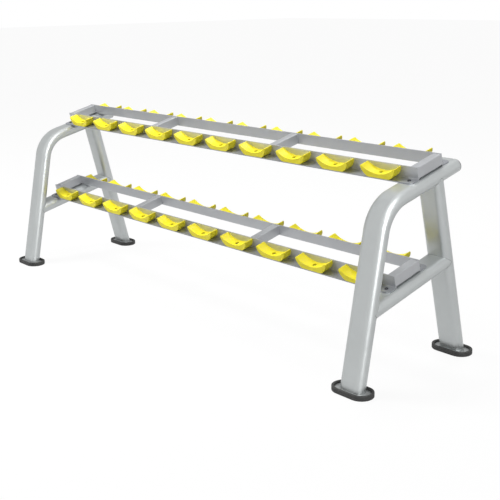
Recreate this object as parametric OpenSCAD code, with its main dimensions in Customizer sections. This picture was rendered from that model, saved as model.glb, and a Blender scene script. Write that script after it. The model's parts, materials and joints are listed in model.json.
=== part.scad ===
// Two-tier dumbbell rack: two bent flat-oval end frames, two sloping angle-rail shelves, moulded saddles.
// Millimetres, +Z up. X runs along the rack, the front is -Y. The origin is on the floor under the middle.

/* [Rack] */
// Distance between the middles of neighbouring dumbbell places
pitch = 220; // [212:1:232]
// Rail length beyond the half pitch outside the last place
rail_end = 38; // [34:1:48]
// Height of the upper shelf's front rail above the floor, at its inner bottom corner
upper_z = 707.8; // [690:0.1:740]
// Distance from the middle to the upper front rail, positive to the rear
upper_y = 18.3; // [5:0.1:30]
// Height of the lower shelf's front rail above the floor, at its inner bottom corner
lower_z = 340.2; // [320:0.1:360]
// Distance from the middle to the lower front rail, negative to the front
lower_y = -91.1; // [-105:0.1:-75]
// Slope of both shelves, rising to the rear
slope = 14; // [12:0.5:16]

/* [End frames] */
// Width of the flat-oval tube, along the rack
tube_w = 100; // [90:1:110]
// Depth of the flat-oval tube
tube_d = 50; // [46:1:52]
// Wall of the flat-oval tube
tube_wall = 3; // [2:0.5:4]
// Lean of the front leg from upright, towards the rear
front_lean = 11.1; // [9:0.1:13]
// Radius of the bend, at the tube's centre line
bend_r = 135; // [110:1:145]
// Length of the top arm behind the upper front rail
arm_rear = 203; // [190:1:215]
// Depth of the rounded end cap outside the tube
cap_depth = 10; // [6:0.5:12]
// Gap left for the weld where one tube is shaped to another
weld_gap = 0.15; // [0.1:0.05:0.3]

/* [Shelves] */
// Height of the angle rail's upright leg
rail_h = 47.5; // [44:0.5:50]
// Width of the angle rail's flange
flange_w = 46; // [45:0.5:50]
// Thickness of the angle rail
rail_t = 4; // [3:0.5:5]
// Clear distance between the two rails of a shelf
rail_gap = 132; // [120:1:145]
// Corner cut on the ends of each flange
corner_cut = 8; // [4:1:12]
// Width of the cross bars, along the rack
bar_w = 35; // [25:1:40]
// Height of the cross bars
bar_h = 42; // [35:1:43]
// Wall of the cross bars
bar_wall = 2.5; // [2:0.5:3]
// Distance from the middle to each inner cross bar
mid_bar_x = 403; // [385:1:410]

/* [Saddles] */
// Width of a saddle over its tips
saddle_w = 153; // [140:1:160]
// Width of a saddle at its base
base_w = 96; // [80:1:100]
// Radius of the saddle's bulging sides
side_r = 55; // [45:1:90]
// Height on the tips where the bulging sides begin
tip_low = 36; // [33:1:38]
// Depth of a saddle, front to rear
saddle_d = 42; // [38:0.5:42]
// Height of the tips above the flange
saddle_h = 42.5; // [38:0.5:44]
// Radius of the cradle
seat_r = 120.5; // [115:0.5:130]
// Thickness of the saddle under the middle of the cradle
seat_floor = 16; // [14:0.5:18]
// Rounding of the cradle's front and rear lips
lip_r = 4; // [2:0.5:5]

/* [Feet] */
// Length of a rubber foot, along the rack
foot_w = 167; // [160:1:175]
// Depth of a rubber foot
foot_d = 95; // [90:1:100]
// Height of a rubber foot
foot_h = 19; // [17:0.5:24]
// Thickness of the rubber rim
rim_t = 10; // [8:0.5:12]
// Height of the steel plate's top above the floor
plate_top = 11; // [9:0.5:13]
// Thickness of the steel plate under a leg
plate_t = 5; // [4:0.5:6]
// Distance from the middle to the centre of each foot
foot_y = 284.5; // [275:0.5:295]

/* [Hardware] */
// Thread size of the shelf bolts
bolt_d = 8; // [8:1:12]
// Thread size of the saddle screws
screw_d = 8; // [6:1:8]

/* [Hidden] */
$fn = 96;
places = 10;

// Small fixed sizes: how far parts of one solid run into each other, tube trimmed off at a foot plate,
// length of a cutting solid, play of a bolt hole, and how much the bend stands proud of the straight runs.
overlap = 1;
trim = 20;
cutter = 200;
hole_play = 1;
bend_proud = 0.1;

// The end cap's plug, its wall and its clearance in the tube, and the straight edge of the cap.
plug_len = 14;
plug_wall = 2.5;
plug_gap = 0.2;
cap_edge = 1;

// The foot plate's clearance in the rubber and its bevel, and the rounding of the rubber's edges.
plate_gap = 0.3;
plate_bevel = 1;
rubber_r = 3;

// Inner and outer radius of the rail's folded corner, and the outer and inner corners of the cross bars.
fold_in = 1;
fold_r = rail_t + fold_in;
bar_r = 4;
bar_in_r = 1.5;

// Clearance behind a saddle, depth of its screw well below the cradle, and the bevel on its tips.
saddle_gap = 0.1;
well_drop = 6;
tip_cut = 1.5;

// Proportions of button heads and hex nuts, as multiples of the thread size, and the play in a nut.
head_wide = 1.75;
head_high = 0.55;
socket_wide = 0.625;
nut_wide = 1.6;
nut_high = 0.8;
nut_play = 0.2;

// Positions along the rack, and the bolt line up the slope.
rail_half = places * pitch / 2 + rail_end;
flat_w = tube_w - tube_d;
frame_x = rail_half - flat_w / 2;
bolt_x = frame_x;
bolt_v = -(flange_w + rail_t) / 2;

// Directions and points in the side view, as [y, z].
leg_dir = [sin(front_lean), cos(front_lean)];
arm_dir = [cos(slope), sin(slope)];
rear_dir = [-sin(slope), cos(slope)];
front_foot = [-foot_y, plate_top];
rear_foot = [foot_y, plate_top];
upper_pt = [upper_y, upper_z];
lower_pt = [lower_y, lower_z];
arm_pt = upper_pt - rear_dir * tube_d / 2;
cross_pt = lower_pt - rear_dir * tube_d / 2;
function cross_of(a, b) = a[0] * b[1] - a[1] * b[0];
function meet(p, u, q, v) = p + u * cross_of(q - p, v) / cross_of(u, v);
bend_angle = 90 - front_lean - slope;
bend_tip = meet(front_foot, leg_dir, arm_pt, arm_dir);
bend_run = bend_r * tan(bend_angle / 2);
leg_end = bend_tip - leg_dir * bend_run;
arm_start = bend_tip + arm_dir * bend_run;
bend_centre = leg_end + [cos(front_lean), -sin(front_lean)] * bend_r;
arm_len = arm_rear - (arm_start - arm_pt) * arm_dir;
leg_len = norm(leg_end - front_foot);
rear_top = meet(rear_foot, rear_dir, arm_pt, arm_dir);
rear_len = norm(rear_top - rear_foot);
cross_front = meet(front_foot, leg_dir, cross_pt, arm_dir);
cross_rear = meet(rear_foot, rear_dir, cross_pt, arm_dir);
cross_len = norm(cross_rear - cross_front);

// The arc of a saddle's side runs from the base corner to the tip, about this point.
base_pt = [base_w / 2, 0];
tip_pt = [saddle_w / 2, tip_low];
side_chord = tip_pt - base_pt;
side_in = [-side_chord[1], side_chord[0]] / norm(side_chord);
side_centre = (base_pt + tip_pt) / 2 + side_in * sqrt(pow(side_r, 2) - pow(norm(side_chord) / 2, 2));

function two(n) = str(n < 10 ? "0" : "", n);
function place_x(n) = (n - (places + 1) / 2) * pitch;

// ---- shared shapes ----

module oval(w, d) {
    square([w - d, d], center = true);
    translate([(w - d) / 2, 0]) circle(d = d);
    translate([-(w - d) / 2, 0]) circle(d = d);
}

module oval_ring(grow) {
    difference() {
        oval(tube_w + 2 * grow, tube_d + 2 * grow);
        oval(tube_w - 2 * tube_wall - 2 * grow, tube_d - 2 * tube_wall - 2 * grow);
    }
}

// Puts children at a side-view point with their +Z along a side-view angle above the rear direction.
module run(p, angle) {
    translate([0, p[0], p[1]]) rotate([angle - 90, 0, 0]) children();
}

// Puts children on a shelf: x along the rack, y up the slope from the front rail, z square to the shelf.
module shelf(p) {
    translate([0, p[0], p[1]]) rotate([slope, 0, 0]) children();
}

// Repeats children at the four bolt places of a shelf, or at two for one end.
module bolt_places(sides) {
    for (s = sides) {
        translate([s, bolt_v, 0]) children();
        translate([s, rail_gap - bolt_v, 0]) children();
    }
}

module below(z) {
    translate([-tube_w, -2 * foot_y, z - cutter]) cube([2 * tube_w, 4 * foot_y, cutter]);
}

// An upright solid with an oval outline, made from one half profile drawn at x >= 0.
module oval_turned(w, d) {
    straight = w - d;
    for (s = [0, 180]) {
        rotate([0, 0, s]) translate([straight / 2, 0, 0]) rotate([0, 0, -90])
            rotate_extrude(angle = 180) children();
    }
    translate([-straight / 2, 0, 0]) rotate([90, 0, 90]) linear_extrude(straight) {
        children();
        mirror([1, 0]) children();
    }
}

// ---- end frames ----

// A cutter the size of a tube's outside, centred on a side-view point, with a weld gap all round.
module tube_cutter(p, along, angle) {
    run(p - along * cutter / 2, angle) linear_extrude(cutter)
        oval(tube_w + 2 * weld_gap, tube_d + 2 * weld_gap);
}

// The two bolt holes through the top wall of a tube under a shelf.
module tube_holes(p) {
    shelf(p) bolt_places([0]) translate([0, 0, -2 * tube_wall])
        cylinder(d = bolt_d + hole_play, h = 3 * tube_wall);
}

module bent_tube() {
    color("silver")
    difference() {
        union() {
            run(front_foot - leg_dir * trim, 90 - front_lean)
                linear_extrude(trim + leg_len + overlap) oval_ring(0);
            translate([0, bend_centre[0], bend_centre[1]]) rotate([90, 0, 90]) rotate([0, 0, 90 + slope])
                rotate_extrude(angle = bend_angle) translate([bend_r, 0]) rotate(90) oval_ring(bend_proud);
            run(arm_start - arm_dir * overlap, slope) linear_extrude(arm_len + overlap) oval_ring(0);
        }
        below(plate_top);
        tube_holes(upper_pt);
    }
}

module rear_leg() {
    color("silver")
    difference() {
        run(rear_foot - rear_dir * trim, 90 + slope) linear_extrude(rear_len + trim) oval_ring(0);
        below(plate_top);
        tube_cutter(rear_top, arm_dir, slope);
    }
}

module cross_tube() {
    color("silver")
    difference() {
        run(cross_front, slope) linear_extrude(cross_len) oval_ring(0);
        tube_cutter(cross_front, leg_dir, 90 - front_lean);
        tube_cutter(cross_rear, rear_dir, 90 + slope);
        tube_holes(lower_pt);
    }
}

// Half profile of the cap's rounded outside.
module cap_profile() {
    r = cap_depth - cap_edge;
    square([tube_d / 2 - r, cap_depth]);
    square([tube_d / 2, cap_edge]);
    intersection() {
        translate([tube_d / 2 - r, cap_edge]) circle(r);
        translate([0, cap_edge]) square([tube_d / 2, cap_depth]);
    }
}

module end_cap() {
    plug_w = tube_w - 2 * tube_wall - 2 * plug_gap;
    plug_d = tube_d - 2 * tube_wall - 2 * plug_gap;
    color("lightgray")
    run(arm_start + arm_dir * arm_len, slope) {
        oval_turned(tube_w, tube_d) cap_profile();
        translate([0, 0, -plug_len]) linear_extrude(plug_len + overlap) difference() {
            oval(plug_w, plug_d);
            oval(plug_w - 2 * plug_wall, plug_d - 2 * plug_wall);
        }
    }
}

// ---- feet ----

module foot_plate() {
    inset = 2 * rim_t + 2 * plate_gap;
    top_inset = inset + 2 * plate_bevel;
    color("gainsboro")
    translate([0, 0, plate_top - plate_t]) {
        linear_extrude(plate_t - plate_bevel) oval(foot_w - inset, foot_d - inset);
        translate([0, 0, plate_t - plate_bevel]) linear_extrude(plate_bevel)
            oval(foot_w - top_inset, foot_d - top_inset);
    }
}

// Half profile of the rubber cup, with a rounded rim and a rounded foot edge.
module rubber_profile() {
    r = foot_d / 2;
    shoulder = foot_h - rubber_r;
    square([r - rubber_r, plate_top - plate_t]);
    translate([r - rim_t, rubber_r]) square([rim_t, shoulder - rubber_r]);
    translate([r - rim_t + rubber_r, shoulder - overlap]) square([rim_t - 2 * rubber_r, rubber_r + overlap]);
    translate([r - rim_t + rubber_r, shoulder]) circle(rubber_r);
    translate([r - rubber_r, shoulder]) circle(rubber_r);
    translate([r - rubber_r, rubber_r]) circle(rubber_r);
}

module rubber_foot() {
    color("dimgray") oval_turned(foot_w, foot_d) rubber_profile();
}

// ---- shelves ----

// An angle rail is folded from one strip. Its two legs are drawn apart and meet face to face beside the fold.
// Section of the upright leg at x = 0, with the folded corner at the origin.
module upright_profile() {
    translate([-rail_t, fold_r]) square([rail_t, rail_h - fold_r]);
    intersection() {
        translate([-fold_r, fold_r]) difference() {
            circle(fold_r);
            circle(fold_in);
        }
        translate([-fold_r, 0]) square([fold_r, fold_r]);
    }
}

module rail_upright() {
    color("lightslategray")
    translate([-rail_half, 0, 0]) rotate([90, 0, 90]) linear_extrude(2 * rail_half) upright_profile();
}

module rail_flange() {
    color("lightslategray")
    difference() {
        translate([-rail_half, -flange_w, 0]) cube([2 * rail_half, flange_w - fold_r, rail_t]);
        for (s = [-1, 1]) {
            translate([s * rail_half, -flange_w, 0]) rotate([0, 0, 45])
                cube([corner_cut * sqrt(2), corner_cut * sqrt(2), 3 * rail_t], center = true);
            translate([s * bolt_x, bolt_v, -overlap])
                cylinder(d = bolt_d + hole_play, h = rail_t + 2 * overlap);
        }
        for (n = [1:places]) {
            translate([place_x(n), bolt_v, -overlap])
                cylinder(d = screw_d + hole_play, h = rail_t + 2 * overlap);
        }
    }
}

// Children of a front rail, mirrored to the rear rail of the same shelf.
module rear_side() {
    translate([0, rail_gap, 0]) mirror([0, 1, 0]) children();
}

module rounded_box_profile(w, h, r) {
    translate([-w / 2 + r, 0]) square([w - 2 * r, h]);
    translate([-w / 2, r]) square([w, h - 2 * r]);
    for (x = [-w / 2 + r, w / 2 - r]) {
        for (y = [r, h - r]) {
            translate([x, y]) circle(r);
        }
    }
}

module cross_bar(x) {
    color("lightsteelblue")
    translate([x, rail_gap, rail_t]) rotate([90, 0, 0]) linear_extrude(rail_gap) difference() {
        rounded_box_profile(bar_w, bar_h, bar_r);
        translate([0, bar_wall]) rounded_box_profile(bar_w - 2 * bar_wall, bar_h - 2 * bar_wall, bar_in_r);
    }
}

// ---- saddles ----

// Outer outline of a saddle, seen from the front, before the cradle is cut: flat tips above bulging sides.
module saddle_outline() {
    h = saddle_w / 2;
    low = saddle_h - tip_cut;
    intersection() {
        polygon([[-h, 0], [h, 0], [h, low], [h - tip_cut, saddle_h], [-h + tip_cut, saddle_h], [-h, low]]);
        union() {
            for (s = [-1, 1]) {
                translate([s * side_centre[0], side_centre[1]]) circle(side_r);
            }
            translate([-side_centre[0], 0]) square([2 * side_centre[0], saddle_h]);
        }
    }
}

// Half profile of the cradle cutter: a drum whose ends flare out to round the lips.
module cradle_profile() {
    square([seat_r, saddle_d]);
    for (y = [0, saddle_d]) {
        difference() {
            translate([0, y - lip_r]) square([seat_r + lip_r, 2 * lip_r]);
            translate([seat_r + lip_r, y == 0 ? lip_r : saddle_d - lip_r]) circle(lip_r);
        }
    }
}

// One saddle standing on the flange, its rear face against the upright leg.
module saddle() {
    screw_v = bolt_v + rail_t + saddle_gap;
    color("gold")
    translate([0, -rail_t - saddle_gap, rail_t]) difference() {
        rotate([90, 0, 0]) linear_extrude(saddle_d) saddle_outline();
        translate([0, 0, seat_floor + seat_r]) rotate([90, 0, 0]) rotate_extrude() cradle_profile();
        translate([0, screw_v, -overlap]) cylinder(d = screw_d + hole_play, h = seat_floor);
        translate([0, screw_v, seat_floor - well_drop])
            cylinder(d = 2 * screw_d + hole_play, h = 2 * well_drop);
    }
}

module saddle_pair(n) {
    translate([place_x(n), 0, 0]) {
        saddle();
        rear_side() saddle();
    }
}

// ---- hardware ----

// Button-head bolt standing on z = 0 with its shank down: a thin rim under a dome with a hex socket.
module button_bolt(d, shank) {
    head_d = d * head_wide;
    head_h = d * head_high;
    dome_r = head_d * 0.75;
    rim_h = d * 0.15;
    rim_step = 0.3;
    difference() {
        union() {
            translate([0, 0, -shank]) cylinder(d = d, h = shank + rim_h / 2);
            cylinder(d = head_d, h = rim_h);
            intersection() {
                translate([0, 0, head_h - dome_r]) sphere(dome_r);
                cylinder(d = head_d - 2 * rim_step, h = head_h);
            }
        }
        translate([0, 0, head_h / 3]) cylinder(d = d * socket_wide / cos(30), h = d, $fn = 6);
    }
}

// Hex nut standing on z = 0.
module hex_nut(d) {
    difference() {
        cylinder(d = d * nut_wide / cos(30), h = d * nut_high, $fn = 6);
        translate([0, 0, -overlap]) cylinder(d = d + nut_play, h = d * nut_high + 2 * overlap);
    }
}

module shelf_bolts() {
    color("black")
    bolt_places([-bolt_x, bolt_x]) translate([0, 0, rail_t]) button_bolt(bolt_d, rail_t + tube_wall + bolt_d);
}

module bolt_nuts() {
    color("gray")
    bolt_places([-bolt_x, bolt_x]) translate([0, 0, -tube_wall - bolt_d * nut_high]) hex_nut(bolt_d);
}

module saddle_screws() {
    head_z = rail_t + seat_floor - well_drop;
    color("dimgray")
    for (n = [1:places]) {
        bolt_places([place_x(n)]) translate([0, 0, head_z]) button_bolt(screw_d, head_z + screw_d);
    }
}

module saddle_nuts() {
    color("gray")
    for (n = [1:places]) {
        bolt_places([place_x(n)]) translate([0, 0, -screw_d * nut_high]) hex_nut(screw_d);
    }
}

// ---- the assembly ----

module left() {
    translate([-frame_x, 0, 0]) children();
}

module right() {
    translate([frame_x, 0, 0]) children();
}

module front_foot_place() {
    translate([0, -foot_y, 0]) children();
}

module rear_foot_place() {
    translate([0, foot_y, 0]) children();
}

left() bent_tube();  // left_bent_tube
left() rear_leg();  // left_rear_leg
left() cross_tube();  // left_cross_tube
left() end_cap();  // left_end_cap
left() front_foot_place() foot_plate();  // left_front_foot_plate
left() rear_foot_place() foot_plate();  // left_rear_foot_plate
left() front_foot_place() rubber_foot();  // left_front_rubber_foot
left() rear_foot_place() rubber_foot();  // left_rear_rubber_foot
right() bent_tube();  // right_bent_tube
right() rear_leg();  // right_rear_leg
right() cross_tube();  // right_cross_tube
right() end_cap();  // right_end_cap
right() front_foot_place() foot_plate();  // right_front_foot_plate
right() rear_foot_place() foot_plate();  // right_rear_foot_plate
right() front_foot_place() rubber_foot();  // right_front_rubber_foot
right() rear_foot_place() rubber_foot();  // right_rear_rubber_foot
shelf(upper_pt) rail_upright();  // upper_front_rail_upright
shelf(upper_pt) rear_side() rail_upright();  // upper_rear_rail_upright
shelf(lower_pt) rail_upright();  // lower_front_rail_upright
shelf(lower_pt) rear_side() rail_upright();  // lower_rear_rail_upright
shelf(upper_pt) rail_flange();  // upper_front_rail_flange
shelf(upper_pt) rear_side() rail_flange();  // upper_rear_rail_flange
shelf(lower_pt) rail_flange();  // lower_front_rail_flange
shelf(lower_pt) rear_side() rail_flange();  // lower_rear_rail_flange
shelf(upper_pt) cross_bar(-rail_half + bar_w / 2);  // upper_left_end_bar
shelf(upper_pt) cross_bar(rail_half - bar_w / 2);  // upper_right_end_bar
shelf(upper_pt) cross_bar(-mid_bar_x);  // upper_left_mid_bar
shelf(upper_pt) cross_bar(mid_bar_x);  // upper_right_mid_bar
shelf(lower_pt) cross_bar(-rail_half + bar_w / 2);  // lower_left_end_bar
shelf(lower_pt) cross_bar(rail_half - bar_w / 2);  // lower_right_end_bar
shelf(lower_pt) cross_bar(-mid_bar_x);  // lower_left_mid_bar
shelf(lower_pt) cross_bar(mid_bar_x);  // lower_right_mid_bar
shelf(upper_pt) shelf_bolts();  // upper_shelf_bolts
shelf(lower_pt) shelf_bolts();  // lower_shelf_bolts
shelf(upper_pt) bolt_nuts();  // upper_bolt_nuts
shelf(lower_pt) bolt_nuts();  // lower_bolt_nuts
shelf(upper_pt) saddle_screws();  // upper_saddle_screws
shelf(lower_pt) saddle_screws();  // lower_saddle_screws
shelf(upper_pt) saddle_nuts();  // upper_saddle_nuts
shelf(lower_pt) saddle_nuts();  // lower_saddle_nuts
for (n = [1:places]) {
    shelf(upper_pt) saddle_pair(n);
    shelf(lower_pt) saddle_pair(n);
}
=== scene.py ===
import json
import math

import bmesh
import bpy
from mathutils import Matrix, Vector


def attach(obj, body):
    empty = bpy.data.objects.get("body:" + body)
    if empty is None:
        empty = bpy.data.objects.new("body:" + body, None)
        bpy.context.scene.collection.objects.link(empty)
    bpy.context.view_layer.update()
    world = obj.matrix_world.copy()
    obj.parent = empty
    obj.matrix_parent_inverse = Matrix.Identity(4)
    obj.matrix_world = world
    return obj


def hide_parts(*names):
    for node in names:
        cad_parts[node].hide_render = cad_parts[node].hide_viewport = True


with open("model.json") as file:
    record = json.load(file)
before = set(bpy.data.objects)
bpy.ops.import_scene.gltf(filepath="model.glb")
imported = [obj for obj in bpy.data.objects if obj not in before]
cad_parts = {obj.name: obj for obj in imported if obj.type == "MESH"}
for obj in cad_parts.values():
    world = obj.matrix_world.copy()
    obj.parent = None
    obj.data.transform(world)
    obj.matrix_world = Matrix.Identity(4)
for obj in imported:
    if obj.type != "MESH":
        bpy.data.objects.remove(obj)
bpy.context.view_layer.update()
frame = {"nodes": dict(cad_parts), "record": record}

NODES = frame["nodes"]

# ---- sizes, in metres, as the CAD has them ----
SLOPE = math.radians(14)          # shelves and top arms rise to the rear
LEAN = math.radians(11.1)         # front legs lean to the rear
TUBE_W = 0.100                    # flat-oval tube, along the rack
TUBE_D = 0.050                    # flat-oval tube, front to rear
PLACES = 10                       # dumbbell places on a shelf
PITCH = 0.220                     # spacing of the places
RAIL_T = 0.004                    # angle rail thickness
RAIL_GAP = 0.132                  # clear distance between a shelf's rails
FRAME_X = 1.113                   # middle of the rack to the middle of an end frame
FOOT_Y = 0.2845                   # middle of the rack to the middle of a foot
PLATE_TOP = 0.011                 # top of a foot plate above the floor
SHELVES = {"upper": Vector((0, 0.0183, 0.7078)), "lower": Vector((0, -0.0911, 0.3402))}

# Side-view directions: up the slope, square to the shelf, along the front leg, along the rear leg.
UP_SLOPE = Vector((0, math.cos(SLOPE), math.sin(SLOPE)))
SQUARE = Vector((0, -math.sin(SLOPE), math.cos(SLOPE)))
FRONT_LEG = Vector((0, math.sin(LEAN), math.cos(LEAN)))
REAR_LEG = SQUARE


# ---- materials ----

GAMMA = 2.2                       # screen values to linear ones
NOISE_SPAN = (0.3, 0.7)           # the part of a noise texture's range that is spread out


def srgb(r, g, b):
    """A colour given as 0 to 255 screen values, made linear."""
    return tuple((c / 255) ** GAMMA for c in (r, g, b)) + (1.0,)


def darker(colour, share):
    return tuple(c * share for c in colour[:3]) + (1.0,)


class Nodes:
    """A short way to build a material's node tree around one Principled shader."""

    def __init__(self, name):
        self.mat = bpy.data.materials.new(name)
        self.mat.use_nodes = True
        self.tree = self.mat.node_tree
        self.shader = self.tree.nodes["Principled BSDF"]
        coords = self.tree.nodes.new("ShaderNodeTexCoord")
        self.coords = coords.outputs["Object"]

    def noise(self, scale, detail, rough=0.5):
        node = self.tree.nodes.new("ShaderNodeTexNoise")
        node.inputs["Scale"].default_value = scale
        node.inputs["Detail"].default_value = detail
        node.inputs["Roughness"].default_value = rough
        self.tree.links.new(self.coords, node.inputs["Vector"])
        return node.outputs["Fac"]

    def spread(self, value, low, high):
        """The middle of a noise value's range, spread from low to high."""
        node = self.tree.nodes.new("ShaderNodeMapRange")
        node.inputs["From Min"].default_value = NOISE_SPAN[0]
        node.inputs["From Max"].default_value = NOISE_SPAN[1]
        node.inputs["To Min"].default_value = low
        node.inputs["To Max"].default_value = high
        self.tree.links.new(value, node.inputs["Value"])
        return node.outputs["Result"]

    def blend(self, fac, first, second):
        """The colour first where fac is 0, and second where it is 1."""
        node = self.tree.nodes.new("ShaderNodeMix")
        node.data_type = "RGBA"
        for key, colour in (("A", first), ("B", second)):
            socket = [s for s in node.inputs if s.name == key and s.type == "RGBA"][0]
            socket.default_value = colour
        self.tree.links.new(fac, node.inputs["Factor"])
        return [s for s in node.outputs if s.type == "RGBA"][0]

    def bump(self, height, distance, strength, under=None):
        """A bump that stands up to distance, in metres, on top of the one under it if given."""
        node = self.tree.nodes.new("ShaderNodeBump")
        node.inputs["Strength"].default_value = strength
        node.inputs["Distance"].default_value = distance
        self.tree.links.new(height, node.inputs["Height"])
        if under is not None:
            self.tree.links.new(under, node.inputs["Normal"])
        return node.outputs["Normal"]

    def set(self, **values):
        for key, value in values.items():
            socket = self.shader.inputs[key.replace("_", " ")]
            if isinstance(value, bpy.types.NodeSocket):
                self.tree.links.new(value, socket)
            else:
                socket.default_value = value


def powder_coat(name, colour, metal=0.7, rough=(0.3, 0.38)):
    """Satin silver powder coat: fine orange peel, faint cloudiness."""
    n = Nodes(name)
    cloud = n.spread(n.noise(scale=7, detail=4), 0, 1)
    n.set(Base_Color=n.blend(cloud, darker(colour, 0.93), colour), Metallic=metal)
    n.set(Roughness=n.spread(n.noise(scale=60, detail=3), *rough))
    peel = n.bump(n.noise(scale=900, detail=2), distance=0.00005, strength=0.6)
    waves = n.noise(scale=90, detail=2)
    n.set(Normal=n.bump(waves, distance=0.0001, strength=0.12, under=peel))
    return n.mat


def moulded_plastic(name, colour, shade):
    """Moulded plastic with a fine grain, lightly scuffed by the dumbbells."""
    n = Nodes(name)
    cloud = n.spread(n.noise(scale=18, detail=4), 0, 1)
    n.set(Base_Color=n.blend(cloud, shade, colour), IOR=1.5)
    n.set(Roughness=n.spread(n.noise(scale=120, detail=4), 0.30, 0.48))
    grain = n.bump(n.noise(scale=1400, detail=2), distance=0.00004, strength=0.7)
    waves = n.noise(scale=45, detail=3)
    n.set(Normal=n.bump(waves, distance=0.00015, strength=0.3, under=grain))
    return n.mat


def rubber(name, colour, dusty):
    """Matte rubber, a little dusty."""
    n = Nodes(name)
    dust = n.spread(n.noise(scale=40, detail=5, rough=0.6), 0, 1)
    n.set(Base_Color=n.blend(dust, colour, dusty))
    n.set(Roughness=n.spread(n.noise(scale=150, detail=3), 0.6, 0.8))
    n.set(Normal=n.bump(n.noise(scale=1100, detail=3), distance=0.00012, strength=0.8))
    return n.mat


def fastener_steel(name, colour, metal=1.0, rough=(0.28, 0.45)):
    """Fastener steel with a faint turned grain."""
    n = Nodes(name)
    cloud = n.spread(n.noise(scale=260, detail=3), 0, 1)
    n.set(Base_Color=n.blend(cloud, darker(colour, 0.6), colour), Metallic=metal)
    n.set(Roughness=n.spread(n.noise(scale=500, detail=3), *rough))
    n.set(Normal=n.bump(n.noise(scale=1500, detail=2), distance=0.00003, strength=0.6))
    return n.mat


FRAME_PAINT = powder_coat("frame_paint", srgb(198, 202, 202), rough=(0.35, 0.43))
RAIL_PAINT = powder_coat("rail_paint", srgb(193, 195, 198), metal=0.6, rough=(0.36, 0.44))
# Painted shade: the flanges' copy of the rail paint is darker, for the shade of the uprights and
# saddles.
FLANGE_PAINTED_SHADE = powder_coat("flange_painted_shade", srgb(164, 167, 172), metal=0.6, rough=(0.36, 0.44))
PLATE_PAINT = powder_coat("plate_paint", srgb(190, 193, 193))
CAP_PLASTIC = powder_coat("cap_plastic", srgb(176, 178, 178), metal=0.0, rough=(0.5, 0.6))
YELLOW = moulded_plastic("saddle_yellow", srgb(251, 238, 44), srgb(243, 226, 36))
RUBBER = rubber("foot_rubber", srgb(57, 57, 57), srgb(72, 72, 71))
WELD_PAINT = powder_coat("weld_paint", srgb(168, 171, 171), metal=0.5, rough=(0.5, 0.6))
BOLT_STEEL = fastener_steel("bolt_steel", srgb(84, 84, 87), metal=0.7, rough=(0.4, 0.55))
# Pale screw steel; its yellow tint is a painted reflection of the yellow saddle around the screw.
SCREW_STEEL_PAINTED_REFLECTION = fastener_steel("screw_steel", srgb(214, 208, 150))

SLOT_MATERIALS = {
    "frame_paint": FRAME_PAINT,
    "rail_paint": RAIL_PAINT,
    "plate_steel": PLATE_PAINT,
    "cap_plastic": CAP_PLASTIC,
    "saddle_plastic": YELLOW,
    "foot_rubber": RUBBER,
    "bolt_steel": BOLT_STEEL,
    "screw_steel": SCREW_STEEL_PAINTED_REFLECTION,
}


def paint_cad_nodes():
    """Each CAD node gets its slot's material, the rails' flanges a darker one than the uprights:
    painted shade, for the shade that the uprights and saddles cast on the flanges.
    """
    for part in frame["record"]["subparts"]:
        mesh = NODES[part["node"]].data
        mesh.materials.clear()
        flange = part["node"].endswith("_flange")
        mesh.materials.append(FLANGE_PAINTED_SHADE if flange else SLOT_MATERIALS[part["material_slot"]])


# ---- pieces ----

def add_piece(name, mesh, material, place=None):
    mesh.materials.clear()
    mesh.materials.append(material)
    piece = bpy.data.objects.new(name, mesh)
    bpy.context.scene.collection.objects.link(piece)
    if place is not None:
        piece.matrix_world = place
    return piece


def mesh_from(bm, name):
    """A mesh made from the closed shape bm, with its faces turned outwards."""
    bmesh.ops.recalc_face_normals(bm, faces=bm.faces)
    mesh = bpy.data.meshes.new(name)
    bm.to_mesh(mesh)
    bm.free()
    return mesh


# ---- saddles ----

# Saddle sizes. The roundings are not in the CAD, and the tips stand 1.5 mm wider for theirs.
HALF_W = 0.078                    # middle to tip
BASE_HALF = 0.048                 # middle to the base's edge
SIDE_R = 0.055                    # radius of the bulging sides
TIP_LOW = 0.036                   # height on the tips where the sides end
SADDLE_D = 0.042                  # front to rear
SEAT_R = 0.1205                   # cradle radius
SEAT_FLOOR = 0.016                # cradle's lowest point above the flange
TIP_R = 0.003                     # rounding of the tips, seen from the front
EDGE_R = 0.0022                   # rounding of the moulded edges
SADDLE_GAP = 0.0001               # saddle's rear face to the rail
ON_BASE = 0.0001                  # a point lower than this is on the base
SIDE_STEPS, TIP_STEPS, SEAT_STEPS, EDGE_STEPS = 12, 7, 40, 4
SHARP_FROM = math.radians(32)     # an edge that turns more than this stays sharp

# Stepped screw well, cut down through the saddle.
SCREW_V = 0.025                   # well to the rail's rear face
HOLE_R = 0.0045                   # screw's hole
WELL_R = 0.0085                   # well for the screw's head
WELL_FLOOR = SEAT_FLOOR - 0.006
WELL_TOP = 0.02                   # where the well starts to flare
FLARE_W, FLARE_H = 0.0006, 0.0015
CUT_LOW, CUT_HIGH = -0.01, 0.05   # the cutter's ends, clear of the saddle
WELL_SIDES = 48


def arc(centre, radius, start, end, count):
    """Points on an arc in (x, z), angles in degrees."""
    points = []
    for i in range(count + 1):
        a = math.radians(start + (end - start) * i / count)
        points.append((centre[0] + radius * math.cos(a), centre[1] + radius * math.sin(a)))
    return points


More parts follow.
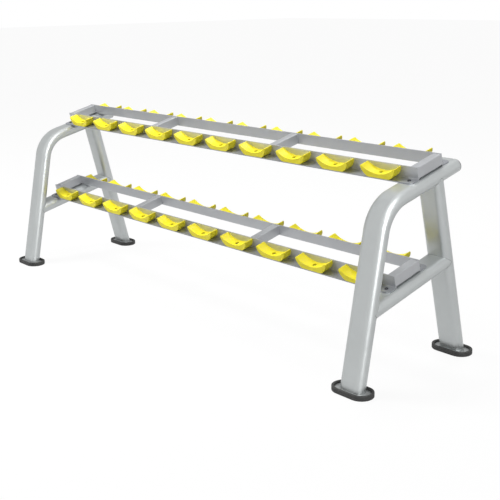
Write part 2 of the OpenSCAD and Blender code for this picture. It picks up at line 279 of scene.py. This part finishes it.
def saddle_outline():
    """The saddle seen from the front, anticlockwise from the right base corner, as (x, z)."""
    base, tip = Vector((BASE_HALF, 0)), Vector((HALF_W, TIP_LOW))
    chord = tip - base
    inward = Vector((-chord.y, chord.x)).normalized()
    middle = (base + tip) / 2 + inward * math.sqrt(SIDE_R ** 2 - chord.length_squared / 4)
    turn = [math.degrees(math.atan2(p.y - middle.y, p.x - middle.x)) for p in (base, tip)]
    side = arc(middle, SIDE_R, turn[0], turn[1], SIDE_STEPS)
    seat_z = SEAT_FLOOR + SEAT_R
    tip_x = HALF_W - TIP_R
    tip_z = seat_z - math.sqrt((SEAT_R + TIP_R) ** 2 - tip_x ** 2)
    reach = math.degrees(math.atan2(tip_x, seat_z - tip_z))
    side += arc((tip_x, tip_z), TIP_R, 0, 90 + reach, TIP_STEPS)
    seat = arc((0, seat_z), SEAT_R, 270 + reach, 270 - reach, SEAT_STEPS)
    return side + seat[1:-1] + [(-x, z) for x, z in reversed(side)]


def saddle_mesh():
    """One moulded saddle: front face at y = -SADDLE_D, rear face at y = 0, on z = 0."""
    bm = bmesh.new()
    front = [bm.verts.new((x, -SADDLE_D, z)) for x, z in saddle_outline()]
    back = [bm.verts.new((x, 0, z)) for x, z in saddle_outline()]
    ends = [bm.faces.new(front), bm.faces.new(list(reversed(back)))]
    count = len(front)
    for i in range(count):
        j = (i + 1) % count
        bm.faces.new((front[j], front[i], back[i], back[j]))
    rims = {edge for face in ends for edge in face.edges}
    rims = [edge for edge in rims if max(v.co.z for v in edge.verts) > ON_BASE]
    bmesh.ops.bevel(bm, geom=rims, offset=EDGE_R, segments=EDGE_STEPS, profile=0.5,
                    affect="EDGES", clamp_overlap=True)
    mesh = drill(mesh_from(bm, "saddle"), (0, RAIL_T + SADDLE_GAP - SCREW_V, 0))
    mesh.shade_smooth()
    mesh.set_sharp_from_angle(angle=SHARP_FROM)
    return mesh


def turned_mesh(name, profile, count):
    """A closed solid of revolution about Z from (radius, z) points, first and last on the axis."""
    bm = bmesh.new()
    turn = [2 * math.pi * i / count for i in range(count)]
    rings = []
    for radius, z in profile:
        if radius == 0:
            rings.append([bm.verts.new((0, 0, z))])
        else:
            spots = [(radius * math.cos(a), radius * math.sin(a), z) for a in turn]
            rings.append([bm.verts.new(spot) for spot in spots])
    for low, high in zip(rings, rings[1:]):
        for i in range(count):
            j = (i + 1) % count
            loop = [low[i % len(low)], low[j % len(low)], high[j % len(high)], high[i % len(high)]]
            unique = list(dict.fromkeys(loop))
            if len(unique) > 2:
                bm.faces.new(unique)
    return mesh_from(bm, name)


def drill(mesh, at):
    """Cuts the stepped screw well down through mesh and returns the new mesh."""
    profile = [(0, CUT_LOW), (HOLE_R, CUT_LOW), (HOLE_R, WELL_FLOOR), (WELL_R, WELL_FLOOR)]
    profile += [(WELL_R, WELL_TOP), (WELL_R + FLARE_W, WELL_TOP + FLARE_H)]
    profile += [(WELL_R + FLARE_W, CUT_HIGH), (0, CUT_HIGH)]
    cutter = bpy.data.objects.new("cutter", turned_mesh("cutter", profile, WELL_SIDES))
    solid = bpy.data.objects.new("solid", mesh)
    for obj in (cutter, solid):
        bpy.context.scene.collection.objects.link(obj)
    cutter.location = at
    # Turned half a side, so that no corner of it lies on the saddle's middle line.
    cutter.rotation_euler.z = math.pi / WELL_SIDES
    cut = solid.modifiers.new("well", "BOOLEAN")
    cut.object = cutter
    cut.solver = "EXACT"
    bpy.context.view_layer.update()
    depsgraph = bpy.context.evaluated_depsgraph_get()
    done = bpy.data.meshes.new_from_object(solid.evaluated_get(depsgraph))
    for obj in (solid, cutter):
        bpy.data.objects.remove(obj)
    done.name = "saddle"
    return done


def shelf_matrix(tier):
    return Matrix.Translation(SHELVES[tier]) @ Matrix.Rotation(SLOPE, 4, "X")


def add_saddles():
    """Rounded saddles in place of the CAD's plain ones, one piece each."""
    mesh = saddle_mesh()
    front_y = -RAIL_T - SADDLE_GAP
    rear_y = RAIL_GAP + RAIL_T + SADDLE_GAP
    front = Matrix.Translation((0, front_y, RAIL_T))
    rear = Matrix.Translation((0, rear_y, RAIL_T)) @ Matrix.Rotation(math.pi, 4, "Z")
    for tier in SHELVES:
        for n in range(1, PLACES + 1):
            across = Matrix.Translation(((n - (PLACES + 1) / 2) * PITCH, 0, 0))
            for row, local in (("front", front), ("rear", rear)):
                name = f"{tier}_{row}_saddle_{n:02d}"
                place = shelf_matrix(tier) @ across @ local
                piece = add_piece(name, mesh, YELLOW, place)
                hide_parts(f"{tier}_saddle_pair_{n:02d}")
                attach(piece, "root")


# ---- weld beads ----

BEAD_R = 0.0012                   # radius of a weld bead
BEAD_SIDES = 8
BEAD_STEP = 0.004                 # spacing of the points along a bead
RIPPLE = 0.12                     # how much a bead swells and shrinks, as a share of its radius
RIPPLE_TURN = 2.4                 # radians of the ripple from one point to the next
OFF_BEAD = Vector((0.3, 0.5, 0.81))   # a direction that no bead runs in


def oval_half(x):
    """Half the depth of the flat-oval tube at x from its middle."""
    reach = abs(x) - (TUBE_W - TUBE_D) / 2
    if reach <= 0:
        return TUBE_D / 2
    return math.sqrt(max((TUBE_D / 2) ** 2 - reach ** 2, 0))


def oval_points():
    """Points around the flat-oval section, as (x, depth)."""
    half = (TUBE_W - TUBE_D) / 2
    radius = TUBE_D / 2
    flat = round(2 * half / BEAD_STEP)
    turn = round(math.pi * radius / BEAD_STEP)
    points = [(-half + 2 * half * i / flat, -radius) for i in range(flat)]
    for i in range(turn):
        a = math.pi * i / turn
        points.append((half + radius * math.sin(a), -radius * math.cos(a)))
    return points + [(-x, -y) for x, y in points]


def bead_mesh(name, path):
    """A closed weld bead along path, slightly rippled."""
    bm = bmesh.new()
    rings = []
    count = len(path)
    turn = [2 * math.pi * k / BEAD_SIDES for k in range(BEAD_SIDES)]
    for i, point in enumerate(path):
        along = (path[(i + 1) % count] - path[i - 1]).normalized()
        side = along.cross(OFF_BEAD).normalized()
        up = side.cross(along)
        size = BEAD_R * (1 + RIPPLE * math.sin(i * RIPPLE_TURN))
        spots = [point + size * (math.cos(a) * side + math.sin(a) * up) for a in turn]
        rings.append([bm.verts.new(spot) for spot in spots])
    for i in range(count):
        here, there = rings[i], rings[(i + 1) % count]
        for k in range(BEAD_SIDES):
            m = (k + 1) % BEAD_SIDES
            bm.faces.new((here[k], here[m], there[m], there[k]))
    mesh = mesh_from(bm, name)
    mesh.shade_smooth()
    return mesh


def meet(p, u, q, v):
    """Where the side-view lines p + s*u and q + t*v cross."""
    cross = u.y * v.z - u.z * v.y
    return p + u * (((q.y - p.y) * v.z - (q.z - p.z) * v.y) / cross)


def add_welds():
    """Beads around the ends of the legs and cross tubes, where they meet a tube or a foot plate."""
    front_foot = Vector((0, -FOOT_Y, PLATE_TOP))
    rear_foot = Vector((0, FOOT_Y, PLATE_TOP))
    arm = SHELVES["upper"] - SQUARE * TUBE_D / 2
    cross = SHELVES["lower"] - SQUARE * TUBE_D / 2
    rear_top = meet(rear_foot, REAR_LEG, arm, UP_SLOPE)
    cross_front = meet(front_foot, FRONT_LEG, cross, UP_SLOPE)
    cross_rear = meet(rear_foot, REAR_LEG, cross, UP_SLOPE)
    skew = UP_SLOPE.dot(FRONT_LEG)    # cosine between the cross tube and the front leg
    slant = math.sqrt(1 - skew ** 2)
    top, rear, front, front_base, rear_base = [], [], [], [], []
    for x, d in oval_points():
        across = Vector((x, 0, 0))
        half = oval_half(x)
        top.append(across + rear_top + UP_SLOPE * d - SQUARE * half)
        rear.append(across + cross_rear + SQUARE * d - UP_SLOPE * half)
        front.append(across + cross_front + SQUARE * d + UP_SLOPE * (half + d * skew) / slant)
        front_base.append(Vector((x, -FOOT_Y + d / math.cos(LEAN), PLATE_TOP)))
        rear_base.append(Vector((x, FOOT_Y + d / math.cos(SLOPE), PLATE_TOP)))
    beads = {
        "top_weld": top,
        "cross_rear_weld": rear,
        "cross_front_weld": front,
        "front_foot_weld": front_base,
        "rear_foot_weld": rear_base,
    }
    for side, x in (("left", -FRAME_X), ("right", FRAME_X)):
        for name, path in beads.items():
            shifted = [p + Vector((x, 0, 0)) for p in path]
            mesh = bead_mesh(name, shifted)
            piece = add_piece(f"{side}_{name}", mesh, WELD_PAINT)
            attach(piece, "root")


# ---- stage, light and camera ----

def direction(azimuth, elevation):
    """Unit vector towards an azimuth from the front, turning right, and an elevation, in degrees."""
    a, e = math.radians(azimuth), math.radians(elevation)
    return Vector((math.sin(a) * math.cos(e), -math.cos(a) * math.cos(e), math.sin(e)))


FLOOR_HALF = 40                   # half the floor's side
FLOOR_BOUNCE = 0.5                # how much light the floor throws back up
FLOOR_GLOSS = 0.85                # how bright the floor is in reflections
FLOOR_GLOW = 1.0                  # how bright the floor is to the camera
FLOOR_SHADE = 0.85                # how light the part of it is that takes shadows
FLOOR_SHADE_SHARE = 0.06          # share of that part in what the camera sees

AMBIENT = 1.03                    # strength of the even studio light
MATTE_SHARE = 0.55                # share of the even light that falls on matte surfaces
# Where the even light fades: towards what, between which cosines with that, and what is left.
OVERHEAD = (direction(0, 90), 0.3, 0.95, 0.7)
LEFT_REAR = (direction(-110, 0), 0.1, 0.9, 0.38)
MATTE_RIGHT = (direction(90, 0), 0.0, 0.8, 0.7)

LIGHT_DISTANCE = 5.0
LIGHT_TARGET = Vector((0, 0, 0.4))
LIGHTS = (
    # name, azimuth, elevation, size, power, shows in reflections, falls on matte surfaces
    ("key", -50, 54, 1.6, 200, False, True),
    ("top", -170, 76, 1.6, 130, False, True),
    ("top_gloss", -170, 76, 1.6, 60, True, False),
    ("right_soft", 66, 50, 3.2, 100, True, False),
    ("right_low", 66, 12, 1.6, 90, True, False),
)

CAMERA_AT = Vector((3.0572, -2.4899, 1.3300))
CAMERA_AZIMUTH, CAMERA_ELEVATION, CAMERA_ROLL = 48.16, 13.44, -0.72
LENS, SENSOR = 65.78, 36.0        # mm
SHIFT_Y = -0.0685
CLIP_END = 100


def stage_material():
    """A white floor: bright in reflections, and throwing only some of its light back up."""
    mat = bpy.data.materials.new("studio_floor")
    mat.use_nodes = True
    tree = mat.node_tree
    tree.nodes.clear()

    def glow(strength):
        node = tree.nodes.new("ShaderNodeEmission")
        node.inputs["Strength"].default_value = strength
        return node.outputs[0]

    def diffuse(level):
        node = tree.nodes.new("ShaderNodeBsdfDiffuse")
        node.inputs["Color"].default_value = (level, level, level, 1)
        return node.outputs[0]

    def either(fac, first, second):
        """The shader first where fac is 0, and second where it is 1."""
        node = tree.nodes.new("ShaderNodeMixShader")
        if isinstance(fac, float):
            node.inputs["Fac"].default_value = fac
        else:
            tree.links.new(fac, node.inputs["Fac"])
        tree.links.new(first, node.inputs[1])
        tree.links.new(second, node.inputs[2])
        return node.outputs[0]

    rays = tree.nodes.new("ShaderNodeLightPath")
    unseen = either(rays.outputs["Is Glossy Ray"], diffuse(FLOOR_BOUNCE), glow(FLOOR_GLOSS))
    seen = either(FLOOR_SHADE_SHARE, glow(FLOOR_GLOW), diffuse(FLOOR_SHADE))
    out = tree.nodes.new("ShaderNodeOutputMaterial")
    tree.links.new(either(rays.outputs["Is Camera Ray"], unseen, seen), out.inputs["Surface"])
    return mat


def add_floor():
    half = FLOOR_HALF
    mesh = bpy.data.meshes.new("studio_floor")
    corners = [(-half, -half, 0), (half, -half, 0), (half, half, 0), (-half, half, 0)]
    mesh.from_pydata(corners, [], [(0, 1, 2, 3)])
    mesh.materials.append(stage_material())
    floor = bpy.data.objects.new("studio_floor", mesh)
    bpy.context.scene.collection.objects.link(floor)


def add_world():
    """Even white studio light, plain white to the camera.

    It is weaker from overhead and from the left rear. Matte surfaces get only a share of it, and
    less of that from the right, so that their shadows are as dark as the photograph's.
    """
    world = bpy.data.worlds.new("studio")
    bpy.context.scene.world = world
    world.use_nodes = True
    tree = world.node_tree
    coords = tree.nodes.new("ShaderNodeTexCoord")
    glow = tree.nodes["Background"]
    glow.inputs["Color"].default_value = (1, 1, 1, 1)

    def fade(toward, start, end, low):
        dot = tree.nodes.new("ShaderNodeVectorMath")
        dot.operation = "DOT_PRODUCT"
        dot.inputs[1].default_value = toward
        tree.links.new(coords.outputs["Generated"], dot.inputs[0])
        ramp = tree.nodes.new("ShaderNodeMapRange")
        ramp.interpolation_type = "SMOOTHSTEP"
        limits = (("From Min", start), ("From Max", end), ("To Min", 1.0), ("To Max", low))
        for key, value in limits:
            ramp.inputs[key].default_value = value
        tree.links.new(dot.outputs["Value"], ramp.inputs["Value"])
        return ramp.outputs["Result"]

    def times(first, second):
        node = tree.nodes.new("ShaderNodeMath")
        node.operation = "MULTIPLY"
        tree.links.new(first, node.inputs[0])
        if isinstance(second, float):
            node.inputs[1].default_value = second
        else:
            tree.links.new(second, node.inputs[1])
        return node.outputs[0]

    rays = tree.nodes.new("ShaderNodeLightPath")
    even = times(fade(*OVERHEAD), fade(*LEFT_REAR))
    matte = times(fade(*MATTE_RIGHT), MATTE_SHARE)
    share = tree.nodes.new("ShaderNodeMix")
    share.inputs["A"].default_value = 1.0
    tree.links.new(rays.outputs["Is Diffuse Ray"], share.inputs["Factor"])
    tree.links.new(matte, share.inputs["B"])
    strength = times(times(even, AMBIENT), share.outputs["Result"])
    tree.links.new(strength, glow.inputs["Strength"])
    white = tree.nodes.new("ShaderNodeBackground")
    white.inputs["Color"].default_value = (1, 1, 1, 1)
    both = tree.nodes.new("ShaderNodeMixShader")
    tree.links.new(rays.outputs["Is Camera Ray"], both.inputs["Fac"])
    tree.links.new(glow.outputs[0], both.inputs[1])
    tree.links.new(white.outputs[0], both.inputs[2])
    tree.links.new(both.outputs[0], tree.nodes["World Output"].inputs["Surface"])


def facing(away):
    """The turn that points a lamp or camera at what away leads from."""
    return away.to_track_quat("Z", "Y").to_matrix().to_4x4()


def add_light(name, azimuth, elevation, size, power, gloss, matte):
    data = bpy.data.lights.new(name, "AREA")
    data.shape = "DISK"
    data.size = size
    data.energy = power
    lamp = bpy.data.objects.new(name, data)
    away = direction(azimuth, elevation)
    lamp.matrix_world = Matrix.Translation(LIGHT_TARGET + away * LIGHT_DISTANCE) @ facing(away)
    lamp.visible_glossy = gloss
    lamp.visible_diffuse = matte
    bpy.context.scene.collection.objects.link(lamp)


def add_camera():
    """The camera stands where the photograph's perspective puts it."""
    data = bpy.data.cameras.new("camera")
    data.sensor_width = SENSOR
    data.lens = LENS
    data.shift_y = SHIFT_Y
    data.clip_end = CLIP_END
    camera = bpy.data.objects.new("camera", data)
    turn = facing(direction(CAMERA_AZIMUTH, CAMERA_ELEVATION))
    roll = Matrix.Rotation(math.radians(CAMERA_ROLL), 4, "Z")
    camera.matrix_world = Matrix.Translation(CAMERA_AT) @ turn @ roll
    bpy.context.scene.collection.objects.link(camera)
    bpy.context.scene.camera = camera


paint_cad_nodes()
add_saddles()
add_welds()
add_floor()
add_world()
for light in LIGHTS:
    add_light(*light)
add_camera()
bpy.context.scene.view_settings.view_transform = "Standard"
